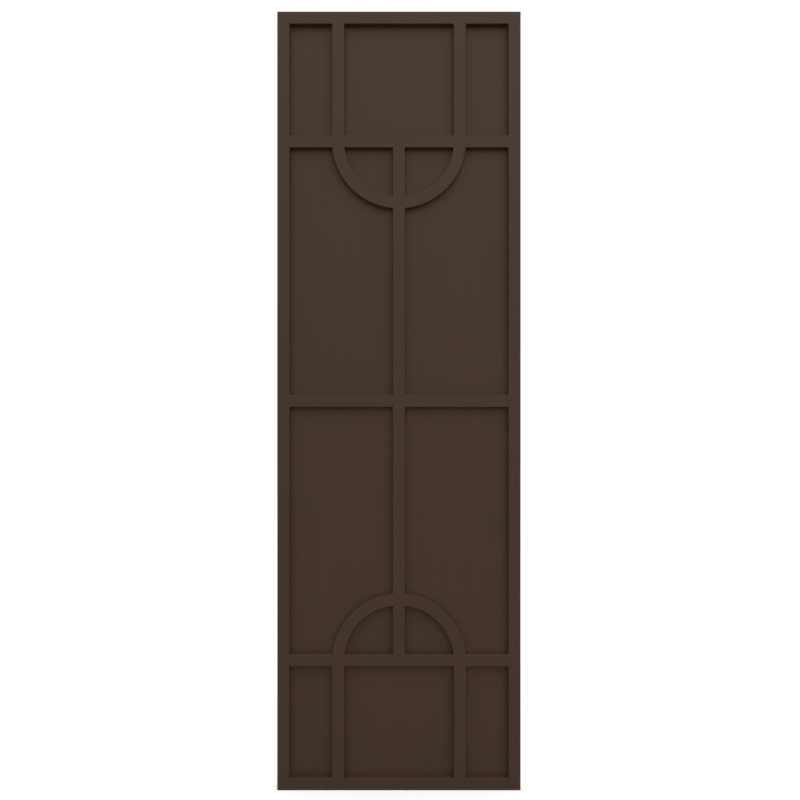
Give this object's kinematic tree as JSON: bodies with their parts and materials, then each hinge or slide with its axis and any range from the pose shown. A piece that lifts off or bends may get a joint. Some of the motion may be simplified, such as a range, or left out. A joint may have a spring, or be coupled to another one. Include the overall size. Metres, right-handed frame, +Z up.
{
  "type": "exterior shutter",
  "caption": "Tall fixed exterior window shutter: a flat board faced with a fret of square strips, with divided end panels and half-ring arches.",
  "frame": {"origin": "middle of the flat back face, which lies against the wall", "axes": "+Z up along the height, +X to the right seen from the front, +Y into the wall; the face looks along -Y"},
  "size_m": [0.381, 0.0191, 1.2192],
  "materials": {
    "painted_board": "satin dark brown paint on cellular PVC sheet",
    "painted_strip": "satin dark brown paint on cellular PVC strip"
  },
  "bodies": {
    "root": {"backing_board": "painted_board", "left_stile": "painted_strip", "right_stile": "painted_strip", "top_rail": "painted_strip", "bottom_rail": "painted_strip", "upper_cross_rail": "painted_strip", "middle_cross_rail": "painted_strip", "lower_cross_rail": "painted_strip", "upper_centre_mullion": "painted_strip", "lower_centre_mullion": "painted_strip", "top_left_mullion": "painted_strip", "top_right_mullion": "painted_strip", "bottom_left_mullion": "painted_strip", "bottom_right_mullion": "painted_strip", "upper_left_arch": "painted_strip", "upper_right_arch": "painted_strip", "lower_left_arch": "painted_strip", "lower_right_arch": "painted_strip"}
  },
  "joints": []
}
